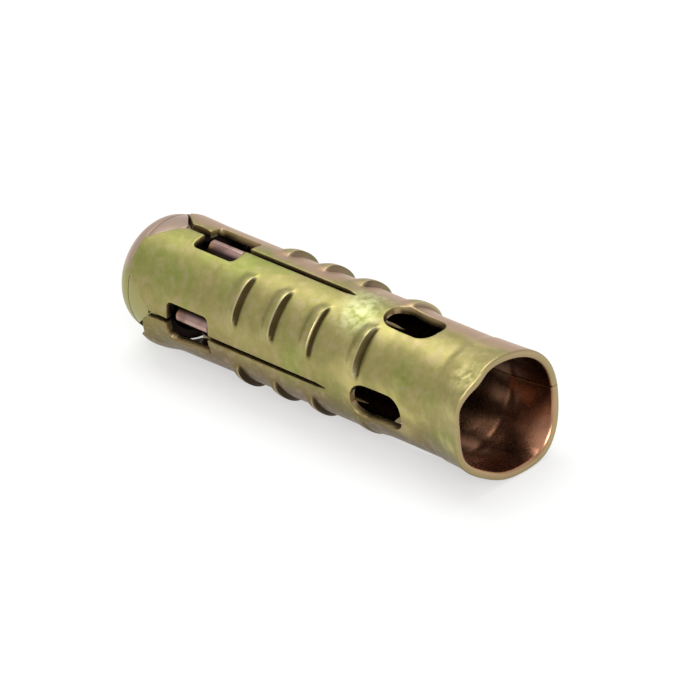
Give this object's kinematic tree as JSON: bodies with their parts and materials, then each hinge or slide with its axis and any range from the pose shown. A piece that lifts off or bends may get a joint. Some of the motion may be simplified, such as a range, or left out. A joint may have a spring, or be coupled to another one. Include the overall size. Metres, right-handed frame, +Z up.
{
  "type": "steel expansion anchor shell",
  "caption": "Segmented sheet-steel wall anchor: a slotted, barbed expansion sleeve with a threaded cone nut in its tail, yellow passivated.",
  "frame": {"origin": "on the ground under the middle of the part as it lies on its side, with one slot facing down", "axes": "+X along the sleeve's axis from the nut in the tail to the open mouth, +Z up, the butt seam towards +Y"},
  "size_m": [0.0526, 0.0152, 0.0152],
  "materials": {
    "passivated_sheet": "zinc plated sheet steel, yellow chromate passivation with green and pink tints, satin",
    "passivated_nut": "zinc plated steel forging, yellow chromate passivation with violet tint, satin"
  },
  "bodies": {
    "sleeve": {"expansion_sleeve": "passivated_sheet"},
    "nut": {"cone_nut": "passivated_nut"}
  },
  "joints": [
    {"name": "nut_slide", "type": "slide", "parent": "sleeve", "child": "nut", "axis": [-1, 0, 0], "range_m": [0, 0.0008]}
  ]
}
